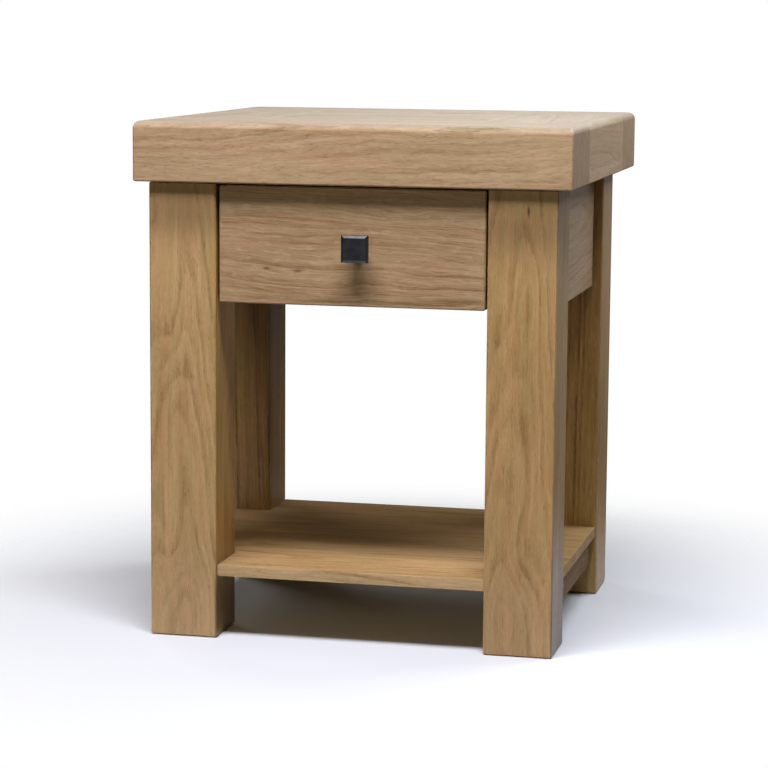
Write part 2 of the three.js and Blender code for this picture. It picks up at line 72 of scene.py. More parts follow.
# ------------------------------------------------------------------ node trees
class Web:
    """A node tree with short calls, each giving back the socket that it makes."""

    def __init__(self, tree):
        self.tree = tree

    def feed(self, socket, value):
        if isinstance(value, bpy.types.NodeSocket):
            self.tree.links.new(value, socket)
        else:
            socket.default_value = value

    def node(self, kind, inputs, **settings):
        made = self.tree.nodes.new(kind)
        for name, value in settings.items():
            setattr(made, name, value)
        for key, value in inputs.items():
            self.feed(made.inputs[key], value)
        return made

    def math(self, operation, *values, clamp=False):
        inputs = dict(enumerate(values))
        return self.node("ShaderNodeMath", inputs, operation=operation, use_clamp=clamp).outputs[0]

    def times(self, *values):
        result = values[0]
        for value in values[1:]:
            result = self.math("MULTIPLY", result, value)
        return result

    def total(self, *values):
        result = values[0]
        for value in values[1:]:
            result = self.math("ADD", result, value)
        return result

    def vector(self, operation, *values):
        inputs = dict(enumerate(values))
        return self.node("ShaderNodeVectorMath", inputs, operation=operation).outputs[0]

    def length(self, value):
        return self.node("ShaderNodeVectorMath", {0: value}, operation="LENGTH").outputs["Value"]

    def split(self, value):
        return self.node("ShaderNodeSeparateXYZ", {0: value}).outputs

    def combine(self, x, y, z):
        return self.node("ShaderNodeCombineXYZ", {0: x, 1: y, 2: z}).outputs[0]

    def ease(self, value, start, end, low=0.0, high=1.0):
        """A smooth step from low at start to high at end."""
        inputs = {0: value, 1: start, 2: end, 3: low, 4: high}
        return self.node("ShaderNodeMapRange", inputs, interpolation_type="SMOOTHSTEP").outputs[0]

    def mix(self, share, first, second, blend="MIX"):
        inputs = {0: share, 6: first, 7: second}
        node = self.node("ShaderNodeMix", inputs, data_type="RGBA", blend_type=blend)
        return node.outputs[2]

    def noise(self, place, detail=2.0, roughness=0.5):
        inputs = {"Vector": place, "Scale": 1.0, "Detail": detail, "Roughness": roughness}
        return self.node("ShaderNodeTexNoise", inputs).outputs[0]

    def random(self, value):
        node = self.node("ShaderNodeTexWhiteNoise", {"W": value}, noise_dimensions="1D")
        return node.outputs["Value"]

    def weighted(self, base, layers, weights):
        """The base plus each named layer times its weight."""
        parts = [self.times(layers[name], weight) for name, weight in weights.items()]
        return self.total(base, *parts)

    def clamp(self, value):
        return self.math("ADD", value, 0.0, clamp=True)

    def bump(self, height, strength=0.8):
        """A bumped normal from a height in millimetres."""
        inputs = {"Strength": strength, "Distance": MM, "Height": height}
        return self.node("ShaderNodeBump", inputs).outputs[0]


def new_group(name, inputs, outputs):
    tree = bpy.data.node_groups.new(name, "ShaderNodeTree")
    for label, kind, default in inputs:
        socket = tree.interface.new_socket(name=label, in_out="INPUT", socket_type=kind)
        socket.default_value = default
    for label, kind in outputs:
        tree.interface.new_socket(name=label, in_out="OUTPUT", socket_type=kind)
    entry = tree.nodes.new("NodeGroupInput")
    end = tree.nodes.new("NodeGroupOutput")
    return tree, Web(tree), entry.outputs, end.inputs


def new_material(name):
    material = bpy.data.materials.new(name)
    material.use_nodes = True
    return material, Web(material.node_tree), material.node_tree.nodes["Principled BSDF"]


# ------------------------------------------------------------------ parts that all wood shares
WOOD_INPUTS = [
    ("Place", VECTOR, (0, 0, 0)),          # along the grain, across, through: mm from the middle
    ("Half", VECTOR, (100, 100, 100)),     # half the board's size in the same order
    ("End", FLOAT, 0.0),                   # 1 where the surface cuts straight across the grain
    ("Seed", FLOAT, 0.0),
    ("Pith across", FLOAT, 0.0),           # the tree's middle line, mm from the board's middle
    ("Pith through", FLOAT, 40.0),
    ("Taper", FLOAT, 0.05),                # how far the rings lean per mm along the board
    ("Ring", FLOAT, 5.0),                  # mm between rings
    ("Wave", FLOAT, 1.0),
    ("Figure", FLOAT, 1.0),                # how strongly the rings show
    ("Dashes", FLOAT, 1.0),                # how strongly short lines along the grain show
    ("Wear", FLOAT, 0.2),                  # how pale the arrises are rubbed
    ("Swirl", FLOAT, 0.0),                 # mm added to the rings round a knot or crotch
    ("Stain and painted shade", FLOAT, 0.0),                 # dark spots, as in a knot, and painted shade
    ("Rough", FLOAT, 0.42),
    ("Light", COLOR, (0.5, 0.35, 0.18, 1)),
    ("Dark", COLOR, (0.3, 0.18, 0.07, 1)),
]
WOOD_OUTPUTS = [("Color", COLOR), ("Roughness", FLOAT), ("Normal", VECTOR)]
SEED_STEP = (13.7, 5.3, 9.1)               # how far one seed moves the noise each way
TURN_RADIUS = 60.0                         # mm, makes the angle round the pith a distance
WANDER = [                                 # mm along, mm across, detail, mm of wander
    (280, 75, 1.0, 9.0),
    (80, 20, 2.0, 2.2),
    (26, 12, 1.0, 0.9),
]
ARRIS = (0.4, 2.6)                         # mm from an edge, where wear is full and where it ends
WEAR_PATCHES = (0.03, 0.05, 0.05)          # patches per mm along, across and through a board
END_GRAIN = (0.70, 0.95)                   # how squarely a face cuts the grain to show its end
END_SHARE = 0.9                            # how strongly end grain takes its tint
COAT_ROUGHNESS = 0.35


def seed_shift(web, seed):
    return web.combine(*[web.math("MULTIPLY", seed, step) for step in SEED_STEP])


def grained(web, place, shift, length, width, detail=2.0, roughness=0.5):
    """Noise drawn out along the grain: length and width of its features in millimetres."""
    spread = web.vector("MULTIPLY", place, (1 / length, 1 / width, 1 / width))
    return web.noise(web.vector("ADD", spread, shift), detail, roughness)


def swing(web, place, shift, length, width, detail=2.0, roughness=0.5, amount=0.5):
    """The same noise as a swing of amount either side of nothing."""
    value = grained(web, place, shift, length, width, detail, roughness)
    return web.math("MULTIPLY", web.math("SUBTRACT", value, 0.5), 2.0 * amount)


def ring_field(web, given, shift):
    """Distance out from the pith, bent as a tree bends it, and a place that follows the rings."""
    place = given["Place"]
    along, across, through = web.split(place)
    dx = web.math("SUBTRACT", across, given["Pith across"])
    dz = web.math("SUBTRACT", through, given["Pith through"])
    radius = web.length(web.combine(0.0, dx, dz))
    lean = web.math("MULTIPLY", along, given["Taper"])
    waves = [swing(web, place, shift, long, wide, detail, amount=reach)
             for long, wide, detail, reach in WANDER]
    wander = web.math("MULTIPLY", web.total(*waves), given["Wave"])
    bent = web.total(radius, lean, wander, given["Swirl"])
    turn = web.math("MULTIPLY", web.math("ARCTAN2", dx, dz), TURN_RADIUS)
    return bent, web.combine(along, bent, turn)


def arris_wear(web, given):
    """1 on a board's arrises, where hands and cloths rub, fading within a few millimetres."""
    inner = web.vector("SUBTRACT", given["Half"], web.vector("ABSOLUTE", given["Place"]))
    a, b, c = web.split(inner)
    low = web.math("MINIMUM", a, b)
    high = web.math("MAXIMUM", a, b)
    second = web.math("MAXIMUM", low, web.math("MINIMUM", high, c))
    patches = web.noise(web.vector("MULTIPLY", given["Place"], WEAR_PATCHES), 2.0)
    return web.times(web.ease(second, *ARRIS, 1.0, 0.0), web.ease(patches, 0.3, 0.7, 0.35, 1))


def ring_phase(web, given, bent):
    """Where a point lies within its growth ring, from 0 to 1, and the ring's own random number."""
    rings = web.math("DIVIDE", bent, given["Ring"])
    return web.math("FRACT", rings), web.random(web.math("FLOOR", rings))


# ------------------------------------------------------------------ oak
PORE_COLOR = (0.13, 0.070, 0.028, 1)
RAY_COLOR = (0.62, 0.46, 0.30, 1)
WORN_COLOR = (0.66, 0.48, 0.29, 1)
# Knots, streaks and painted shade all darken towards this colour.
STAIN_AND_PAINTED_SHADE_COLOR = (0.08, 0.042, 0.020, 1)
ROSE_COLOR = (1.07, 0.97, 0.94, 1)
OLIVE_COLOR = (0.95, 1.00, 0.90, 1)
OAK_END_TINT = (0.74, 0.70, 0.68, 1)
OAK_LAYERS = {                             # mm along the fibre, mm across it, detail, roughness
    "tone": (230, 26, 2.0, 0.5),
    "ribbon": (330, 6.5, 1.0, 0.5),
    "streak": (110, 1.8, 3.0, 0.62),
    "dash": (32, 1.3, 2.0, 0.6),
    "hair": (28, 0.8, 2.0, 0.6),
}
OAK_PORE = (8.0, 0.7, 1.0)                 # mm along, mm across, detail
OAK_HUE = (190, 11, 1.0)                   # drift between a rosy and an olive oak, the same way
OAK_BREAKS = (75, 9)                       # mm along and across, where rings fade out
OAK_RAY = (1 / 14, 1 / 16, 1 / 1.1)        # ray flecks per mm along, out from and round the pith
OAK_PORE_RING = 0.22                       # share of a ring that its porous early wood takes
OAK_BASE_DEPTH = 0.30                      # 0 is the light wood, 1 the dark wood
OAK_DEPTH = dict(band=0.50, tone=0.80, ribbon=0.60, streak=0.80, dash=0.9, hair=0.42)
OAK_ROUGH = dict(pore=0.22, band=0.06, end=0.14, worn=-0.05, tone=0.10)
OAK_RELIEF = dict(pore=-0.10, band=-0.035, hair=0.035, tone=0.03)       # mm
OAK_HUE_SHARE, OAK_RAY_SHARE, OAK_PORE_SHARE = 0.45, 0.16, 0.50


def oak_group():
    """Oak as a solid: growth rings about a pith line, fibre, pores, rays and worn arrises."""
    tree, web, given, result = new_group("oak", WOOD_INPUTS, WOOD_OUTPUTS)
    shift = seed_shift(web, given["Seed"])
    bent, fibre = ring_field(web, given, shift)

    phase, luck = ring_phase(web, given, bent)
    early, late = web.ease(phase, 0.0, OAK_PORE_RING), web.ease(phase, OAK_PORE_RING, 0.95, 1.0, 0.0)
    broken = web.ease(grained(web, given["Place"], shift, *OAK_BREAKS), 0.32, 0.62, 0.3, 1)
    strength = web.ease(luck, 0, 1, 0.15, 1)
    band = web.times(web.times(early, late), strength, broken, given["Figure"])

    layers = {name: swing(web, fibre, shift, *form) for name, form in OAK_LAYERS.items()}
    layers["dash"] = web.times(layers["dash"], given["Dashes"])
    pore_noise = grained(web, fibre, shift, *OAK_PORE)
    pore = web.times(web.ease(pore_noise, 0.56, 0.68), web.math("MULTIPLY_ADD", band, 0.6, 0.4))
    sheet = web.vector("MULTIPLY", fibre, OAK_RAY)
    ray = web.ease(web.noise(web.vector("ADD", sheet, shift), 1.0), 0.60, 0.72)
    worn = arris_wear(web, given)
    end = web.ease(given["End"], *END_GRAIN)
    layers |= {"band": band, "pore": pore, "worn": worn, "end": end}

    depth = web.clamp(web.weighted(OAK_BASE_DEPTH, layers, OAK_DEPTH))
    color = web.mix(depth, given["Light"], given["Dark"])
    lean = web.ease(grained(web, fibre, shift, *OAK_HUE), 0.35, 0.65)
    hue = web.mix(lean, OLIVE_COLOR, ROSE_COLOR)
    color = web.mix(OAK_HUE_SHARE, color, hue, "MULTIPLY")
    color = web.mix(web.times(ray, OAK_RAY_SHARE), color, RAY_COLOR)
    color = web.mix(web.times(pore, OAK_PORE_SHARE), color, PORE_COLOR)
    color = web.mix(web.times(worn, given["Wear"]), color, WORN_COLOR)
    # Knots and painted shade, towards the same dark colour.
    color = web.mix(given["Stain and painted shade"], color, STAIN_AND_PAINTED_SHADE_COLOR)
    color = web.mix(web.times(end, END_SHARE), color, OAK_END_TINT, "MULTIPLY")

    web.feed(result["Color"], color)
    web.feed(result["Roughness"], web.weighted(given["Rough"], layers, OAK_ROUGH))
    web.feed(result["Normal"], web.bump(web.weighted(0.0, layers, OAK_RELIEF)))
    return tree


# ------------------------------------------------------------------ softwood
SOFTWOOD_END_TINT = (0.74, 0.66, 0.55, 1)
RESIN_COLOR = (0.34, 0.16, 0.045, 1)
SOFTWOOD_LAYERS = {                        # as for oak
    "tone": (260, 30, 2.0, 0.5),
    "hair": (40, 0.9, 3.0, 0.6),
}
SOFTWOOD_CANAL = (14, 0.6, 1.0)            # resin canals: mm along, mm across, detail
SAW_MARK = (2.4, 60, 1.0)                  # marks across the board, left by a saw
SOFTWOOD_BASE_DEPTH = 0.12
SOFTWOOD_DEPTH = dict(band=0.75, tone=0.45, hair=0.35)
SOFTWOOD_ROUGH = dict(band=-0.10, tone=0.10, end=0.1)
SOFTWOOD_RELIEF = dict(band=0.04, hair=0.05, saw=0.03)                  # mm
CANAL_SHARE = 0.45


def softwood_group():
    """Pine as a solid: pale rings that darken slowly outwards and stop at a hard line."""
    tree, web, given, result = new_group("softwood", WOOD_INPUTS, WOOD_OUTPUTS)
    shift = seed_shift(web, given["Seed"])
    bent, fibre = ring_field(web, given, shift)

    phase, luck = ring_phase(web, given, bent)
    strength = web.ease(luck, 0, 1, 0.35, 1)
    profile = web.times(web.ease(phase, 0.20, 0.90), web.ease(phase, 0.92, 1.0, 1.0, 0.0))
    layers = {name: swing(web, fibre, shift, *form) for name, form in SOFTWOOD_LAYERS.items()}
    canal = web.ease(grained(web, fibre, shift, *SOFTWOOD_CANAL), 0.70, 0.78)
    worn = arris_wear(web, given)
    end = web.ease(given["End"], *END_GRAIN)
    layers["band"] = web.times(profile, strength, given["Figure"])
    layers["saw"] = swing(web, given["Place"], shift, *SAW_MARK)
    layers["end"] = end

    depth = web.clamp(web.weighted(SOFTWOOD_BASE_DEPTH, layers, SOFTWOOD_DEPTH))
    color = web.mix(depth, given["Light"], given["Dark"])
    color = web.mix(web.times(canal, CANAL_SHARE), color, RESIN_COLOR)
    color = web.mix(given["Stain and painted shade"], color, RESIN_COLOR)
    color = web.mix(web.times(end, END_SHARE), color, SOFTWOOD_END_TINT, "MULTIPLY")
    color = web.mix(web.times(worn, given["Wear"]), color, given["Light"])
    web.feed(result["Color"], color)
    web.feed(result["Roughness"], web.weighted(given["Rough"], layers, SOFTWOOD_ROUGH))
    web.feed(result["Normal"], web.bump(web.weighted(0.0, layers, SOFTWOOD_RELIEF)))
    return tree


OAK = oak_group()
SOFTWOOD = softwood_group()


# ------------------------------------------------------------------ one material for each board
def board_order(grain, face):
    """Which of X, Y, Z run along the grain, across the board and through its thickness."""
    first, last = "xyz".index(grain), "xyz".index(face)
    return [first, 3 - first - last, last]


def board_place(web, node, order):
    """Where a point lies in a board, in millimetres from its middle, and what it faces."""
    low, high = (Vector(corner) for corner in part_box(node))
    coords = web.node("ShaderNodeTexCoord", {}).outputs
    offset = web.vector("SUBTRACT", coords["Object"], (low + high) / 2)
    parts = web.split(web.vector("MULTIPLY", offset, (1 / MM, 1 / MM, 1 / MM)))
    place = web.combine(*[parts[i] for i in order])
    half = [(high[i] - low[i]) / 2 / MM for i in order]
    facing = web.math("ABSOLUTE", web.split(coords["Normal"])[order[0]])
    return place, half, facing


RIGHT_FACES = 0                            # faces that look along +X
UPPER_FACES = 2                            # faces that look along +Z
EDGE_TURN = (0.15, 0.75)                   # how far a face has to turn before its painted tint starts, is full


def looking(web, axis):
    """1 on faces that look along the axis, easing to nothing round an edge."""
    normal = web.node("ShaderNodeTexCoord", {}).outputs["Normal"]
    return web.ease(web.split(normal)[axis], *EDGE_TURN)


def spot(web, place, at, size):
    """A soft oval on the board's face: 1 at its middle, nothing well outside its size."""
    offset = web.vector("SUBTRACT", place, (at[0], at[1], 0.0))
    reach = web.length(web.vector("MULTIPLY", offset, (1 / size[0], 1 / size[1], 0.0)))
    return web.math("EXPONENT", web.times(reach, reach, -1.0))


def spots(web, place, listed):
    """The sum of several soft ovals, each given as its place, its size and its amount."""
    if not listed:
        return 0.0
    return web.total(*[web.times(spot(web, place, at, size), amount) for at, size, amount in listed])


def board_material(
    node, group, colors, grain, face, seed,
    pith=(0, -60), taper=0.05, ring=5.0, wave=1.0, figure=1.0, dashes=1.0,
    wear=0.2, swirls=(), stains_and_painted_shade=(), painted_light_tints=(), rough=0.42, coat=0.2, specular=0.5,
):
    """Wood for one board; pith, swirls, stains and painted shade are in millimetres from the board's
    middle.
    """
    material, web, shader = new_material(f"{group.name}_{node}")
    place, half, facing = board_place(web, node, board_order(grain, face))
    wood = web.node("ShaderNodeGroup", {}, node_tree=group)
    values = {
        "Place": place,
        "Half": half,
        "End": facing,
        "Seed": seed,
        "Pith across": pith[0],
        "Pith through": pith[1],
        "Taper": taper,
        "Ring": ring,
        "Wave": wave,
        "Figure": figure,
        "Dashes": dashes,
        "Wear": wear,
        "Swirl": spots(web, place, swirls),
        # Knots, streaks and painted shade, as soft ovals.
        "Stain and painted shade": spots(web, place, stains_and_painted_shade),
        "Rough": rough,
        "Light": (*colors[0], 1),
        "Dark": (*colors[1], 1),
    }
    for key, value in values.items():
        web.feed(wood.inputs[key], value)
    color = wood.outputs["Color"]
    # Painted shade and painted sheen on the faces that look one way.
    for axis, tint in painted_light_tints:
        color = web.mix(looking(web, axis), color, tint, "MULTIPLY")
    web.feed(shader.inputs["Base Color"], color)
    web.feed(shader.inputs["Roughness"], wood.outputs["Roughness"])
    web.feed(shader.inputs["Normal"], wood.outputs["Normal"])
    shader.inputs["Coat Weight"].default_value = coat
    shader.inputs["Coat Roughness"].default_value = COAT_ROUGHNESS
    shader.inputs["Specular IOR Level"].default_value = specular
    return material


def dress(node, material):
    mesh = frame["nodes"][node].data
    mesh.materials.clear()
    mesh.materials.append(material)


# Light and dark wood of each family.
LEG_OAK = ((0.51, 0.318, 0.134), (0.28, 0.158, 0.048))
PALE_LEG_OAK = ((0.562, 0.362, 0.166), (0.312, 0.184, 0.063))
# The rear legs: a deeper oak, its blue kept low as painted warm shade.
DEEP_OAK_WITH_PAINTED_SHADE = ((0.46, 0.280, 0.080), (0.195, 0.100, 0.021))
# The shelf rails: leg oak darkened as painted shade under the shelf.
RAIL_PAINTED_SHADE_OAK = ((0.21, 0.130, 0.058), (0.11, 0.062, 0.023))
FRONT_OAK = ((0.46, 0.312, 0.178), (0.25, 0.145, 0.064))
DRAWER_OAK = ((0.45, 0.300, 0.165), (0.22, 0.122, 0.050))
TOP_OAK = ((0.475, 0.322, 0.186), (0.29, 0.176, 0.082))
SHELF_OAK = ((0.51, 0.352, 0.190), (0.29, 0.178, 0.076))
PINE = ((0.60, 0.43, 0.22), (0.40, 0.22, 0.08))
PLY = ((0.62, 0.46, 0.26), (0.47, 0.31, 0.15))

# Painted light: what the faces that look one way are multiplied by, as painted shade and painted sheen.
TOP_PAINTED_SHEEN = (0.66, 0.77, 0.92, 1)           # painted sheen and painted shade: the top's upper face made greyer and darker
SHELF_PAINTED_SHADE = (0.72, 0.66, 0.54, 1)         # painted shade: the shelf's upper face made darker and warmer
INNER_PAINTED_SHADE = (0.93, 0.86, 0.55, 1)        # painted shade: the inner face of a front leg made darker and yellower
OUTER_PAINTED_SHADE = (0.86, 0.90, 1.00, 1)        # painted shade and painted sheen: the outer face of a front leg made darker and greyer
REAR_PAINTED_SHADE = (0.70, 0.64, 0.48, 1)         # painted shade: the inner face of the rear left leg made darker and yellower
# Painted sheen: the outer face of the rear right leg made bluer and greyer.
REAR_OUTER_PAINTED_SHEEN = (0.98, 0.98, 1.35, 1)

# Stains, painted shade and swirls: middle (mm along, mm across), half size the same way, amount (mm for a
# swirl).
UNDER_TOP_PAINTED_SHADOW_LEFT = ((228, 0), (32, 90), 0.54)     # painted shadow of the top on the front legs
UNDER_TOP_PAINTED_SHADOW_RIGHT = ((221, 0), (38, 90), 0.54)
NEAR_FLOOR_PAINTED_SHADE = ((-262, 0), (135, 90), 0.25)       # and painted shade, a little darker near the floor
UNDER_SHELF_PAINTED_SHADE = ((-225, 39), (60, 1.5), 0.65)     # painted shade on the inner face only, below the shelf
LOW_SIDE_PAINTED_SHADE = ((-262, 39), (120, 1.5), 0.60)       # painted shade on the outer face only, near the floor
UNDER_APRON_PAINTED_SHADE = ((120, 0), (120, 90), 0.72)       # painted shade on one rear leg, below the apron and drawer
BESIDE_APRON_PAINTED_SHADE = ((261, -6), (110, 22), 0.82)     # and painted shade near the top of the other, beside the apron
LEG_STREAK = ((-110, -24), (36, 1.6), 0.22)
LEG_PIN_KNOT = ((237, 6), (5, 1.2), 0.8)
LEFT_SWIRLS = [((-120, -16), (70, 13), 9.0), ((-225, 8), (50, 26), -6.0), ((150, -14), (90, 16), 7.0)]
RIGHT_SWIRLS = [((-140, 4), (45, 16), 8.0), ((-215, -12), (40, 18), -8.0), ((140, 10), (60, 15), -9.0)]
DRAWER_SWIRLS = [((45, 34), (60, 12), 9.0), ((20, -40), (40, 14), -8.0)]
PIN_KNOTS = [((-97, -26), (4, 1.6), 0.8), ((-61, -28), (5, 1.6), 0.8)]
DARK_STREAKS = [
    ((58, 57), (85, 2.2), 0.22), ((95, 49), (60, 2.0), 0.22),
    ((-80, 62), (70, 2.0), 0.22), ((-105, 52), (45, 1.4), 0.14),
]
SHADED_ZONES = [((10, 44), (220, 22), 0.05), ((75, 5), (60, 26), 0.06)]

# Ways of growing and finishing that several boards share.
STRAIGHT = dict(ring=4.2, wave=0.8, figure=0.95, dashes=0.4)
STRIPED = dict(ring=2.8, wave=0.35, figure=1.7, dashes=0.8, taper=0.01)
MATT = dict(rough=0.62, coat=0.0, specular=0.1)


def dress_legs_and_rails():
    boards = {
        "leg_front_left": dict(
            grain="z", face="y", pith=(-6, 22), taper=0.055, swirls=LEFT_SWIRLS,
            stains_and_painted_shade=[LEG_STREAK, UNDER_TOP_PAINTED_SHADOW_LEFT, NEAR_FLOOR_PAINTED_SHADE, UNDER_SHELF_PAINTED_SHADE],
            painted_light_tints=[(RIGHT_FACES, INNER_PAINTED_SHADE)], **STRAIGHT,
        ),
        "leg_front_right": dict(
            grain="z", face="y", pith=(-10, 26), swirls=RIGHT_SWIRLS,
            stains_and_painted_shade=[LEG_PIN_KNOT, UNDER_TOP_PAINTED_SHADOW_RIGHT, NEAR_FLOOR_PAINTED_SHADE, LOW_SIDE_PAINTED_SHADE],
            painted_light_tints=[(RIGHT_FACES, OUTER_PAINTED_SHADE)], **STRAIGHT,
        ),
        "leg_rear_left": dict(
            grain="z", face="y", pith=(-60, 60), stains_and_painted_shade=[UNDER_APRON_PAINTED_SHADE],
            painted_light_tints=[(RIGHT_FACES, REAR_PAINTED_SHADE)], **STRIPED,
        ),
        "leg_rear_right": dict(
            grain="z", face="y", pith=(50, 70), stains_and_painted_shade=[BESIDE_APRON_PAINTED_SHADE],
            painted_light_tints=[(RIGHT_FACES, REAR_OUTER_PAINTED_SHEEN)], **STRIPED,
        ),
        "shelf_rail_left": dict(grain="y", face="x", pith=(60, 10), **MATT),
        "shelf_rail_right": dict(grain="y", face="x", pith=(-60, 10), **MATT),
    }
    colors = {
        "leg_front_left": PALE_LEG_OAK, "leg_rear_left": DEEP_OAK_WITH_PAINTED_SHADE, "leg_rear_right": DEEP_OAK_WITH_PAINTED_SHADE,
        "shelf_rail_left": RAIL_PAINTED_SHADE_OAK, "shelf_rail_right": RAIL_PAINTED_SHADE_OAK,
    }
    for seed, (node, spec) in enumerate(boards.items(), start=1):
        dress(node, board_material(node, OAK, colors.get(node, LEG_OAK), seed=seed, **spec))


def dress_aprons_and_drawer_front():
    boards = {
        "apron_left": dict(grain="y", face="x", pith=(20, -60)),
        "apron_right": dict(grain="y", face="x", pith=(20, 60)),
        "apron_rear": dict(grain="x", face="y", pith=(-20, 50)),
        "drawer_front": dict(
            grain="x", face="y", pith=(-150, 60), taper=0.03, ring=7.5, wave=1.3, figure=0.9,
            dashes=1.6, swirls=DRAWER_SWIRLS,
            stains_and_painted_shade=PIN_KNOTS + DARK_STREAKS + SHADED_ZONES,
        ),
    }
    for seed, (node, spec) in enumerate(boards.items(), start=7):
        colors = DRAWER_OAK if node == "drawer_front" else FRONT_OAK
        dress(node, board_material(node, OAK, colors, seed=seed, **spec))


def dress_top():
    boards = {
        "top_front_board": dict(grain="x", face="y", pith=(-70, 80), taper=-0.03, ring=4.5, dashes=1.3),
        "top_rear_board": dict(grain="x", face="y", pith=(-60, -80), taper=0.03),
        "top_side_board_left": dict(grain="y", face="z", pith=(30, -90), wear=0.6),
        "top_side_board_right": dict(grain="y", face="z", pith=(-40, -90), wear=0.6),
        "top_side_strip_left": dict(grain="y", face="z", pith=(20, 60), wear=0.6),
        "top_side_strip_right": dict(grain="y", face="z", pith=(-20, 60), wear=0.6),
        "top_centre_board_1": dict(grain="x", face="z", pith=(10, -70)),
        "top_centre_board_2": dict(grain="x", face="z", pith=(-25, -60)),
        "top_centre_board_3": dict(grain="x", face="z", pith=(30, -80)),
    }
    for seed, (node, spec) in enumerate(boards.items(), start=11):
        spec |= dict(rough=0.46, painted_light_tints=[(UPPER_FACES, TOP_PAINTED_SHEEN)])
        dress(node, board_material(node, OAK, TOP_OAK, seed=seed, **spec))


def dress_shelf():
    for number in range(1, 5):
        node = f"shelf_board_{number}"
        side = 1 if number % 2 else -1
        spec = dict(grain="x", face="z", pith=(20 * side, -50), painted_light_tints=[(UPPER_FACES, SHELF_PAINTED_SHADE)])
        dress(node, board_material(node, OAK, SHELF_OAK, seed=20 + number, **spec, **MATT))


def dress_softwood():
    lengthwise = ["runner", "guide", "kicker", "top_batten"]
    boards = {f"{name}_{side}": ("y", "z") for name in lengthwise for side in ("left", "right")}
    boards |= {f"drawer_side_{side}": ("y", "x") for side in ("left", "right")}
    boards |= {f"drawer_stop_{side}": ("z", "y") for side in ("left", "right")}
    boards |= {"front_rail_upper": ("x", "z"), "front_rail_lower": ("x", "z"), "drawer_back": ("x", "y")}
    for seed, (node, (grain, face)) in enumerate(boards.items(), start=30):
        pith = (25 * math.sin(seed), 45)
        spec = dict(grain=grain, face=face, pith=pith, taper=0.03, ring=4.2, rough=0.58, coat=0.0)
        dress(node, board_material(node, SOFTWOOD, PINE, seed=seed, **spec))


PLIES = 5
CROSS_PLY_TINT = (0.62, 0.52, 0.42, 1)


def dress_drawer_bottom():
    """Plywood: a flat rotary-cut veneer face, and its plies showing at the edges."""
    node = "drawer_bottom"
    spec = dict(grain="x", face="z", pith=(10, -400), taper=0.01, ring=9, wave=2.5, figure=0.5)
    material = board_material(node, SOFTWOOD, PLY, seed=60, rough=0.55, coat=0.0, **spec)
    web = Web(material.node_tree)
    shader = material.node_tree.nodes["Principled BSDF"]
    low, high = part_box(node)
    coords = web.node("ShaderNodeTexCoord", {}).outputs
    height = web.math("SUBTRACT", web.split(coords["Object"])[2], low[2])
    layer = web.math("FLOOR", web.math("MULTIPLY", height, PLIES / (high[2] - low[2])))
    crossed = web.math("PINGPONG", layer, 1.0)
    edge = web.ease(web.math("ABSOLUTE", web.split(coords["Normal"])[2]), 0.3, 0.7, 1.0, 0.0)
    face_color = shader.inputs["Base Color"].links[0].from_socket
    dark_ply = web.mix(0.85, face_color, CROSS_PLY_TINT, "MULTIPLY")
    web.feed(shader.inputs["Base Color"], web.mix(web.times(edge, crossed), face_color, dark_ply))
    dress(node, material)


# ------------------------------------------------------------------ metal and plastic
IRON_COLORS = ((0.017, 0.017, 0.023, 1), (0.032, 0.032, 0.040, 1))
IRON_RUBBED = (0.07, 0.067, 0.068, 1)
ZINC_COLORS = ((0.60, 0.60, 0.59, 1), (0.62, 0.56, 0.42, 1))
NYLON_COLORS = ((0.040, 0.031, 0.024, 1), (0.085, 0.070, 0.058, 1))


def object_noise(web, per_mm, detail, roughness=0.5):
    """Noise that keeps still on the object, with so many features per millimetre each way."""
    coords = web.node("ShaderNodeTexCoord", {}).outputs["Object"]
    place = web.vector("MULTIPLY", coords, (1 / MM, 1 / MM, 1 / MM))
    return web.noise(web.vector("MULTIPLY", place, per_mm), detail, roughness)


def iron_material():
    """Cast iron under dark wax: fine sand grain, a few rubbed spots."""
    material, web, shader = new_material("dark_iron")
    coarse = object_noise(web, (1.0, 1.0, 1.0), 2.0)
    fine = object_noise(web, (3.0, 3.0, 3.0), 3.0, 0.6)
    cloud = object_noise(web, (0.12, 0.12, 0.12), 2.0)
    color = web.mix(web.ease(cloud, 0.3, 0.7), *IRON_COLORS)
    color = web.mix(web.times(web.ease(fine, 0.62, 0.75), 0.4), color, IRON_RUBBED)
    web.feed(shader.inputs["Base Color"], color)
    web.feed(shader.inputs["Roughness"], web.ease(fine, 0.3, 0.7, 0.30, 0.46))
    height = web.total(web.times(coarse, 0.05), web.times(fine, 0.05))
    web.feed(shader.inputs["Normal"], web.bump(height, 0.6))
    shader.inputs["Metallic"].default_value = 0.35
    shader.inputs["Coat Weight"].default_value = 1.0
    shader.inputs["Coat Roughness"].default_value = 0.17
    return material


def zinc_material():
    """Zinc-plated steel with a faint yellow bloom and fine turning marks."""
    material, web, shader = new_material("zinc_steel")
    bloom = object_noise(web, (0.6, 0.6, 0.6), 2.0)
    turning = object_noise(web, (1.0, 1.0, 14.0), 2.0)
    color = web.mix(web.ease(bloom, 0.35, 0.65), *ZINC_COLORS)
    web.feed(shader.inputs["Base Color"], color)
    web.feed(shader.inputs["Roughness"], web.ease(turning, 0.3, 0.7, 0.26, 0.44))
    web.feed(shader.inputs["Normal"], web.bump(web.times(turning, 0.02)))
    shader.inputs["Metallic"].default_value = 1.0
    return material


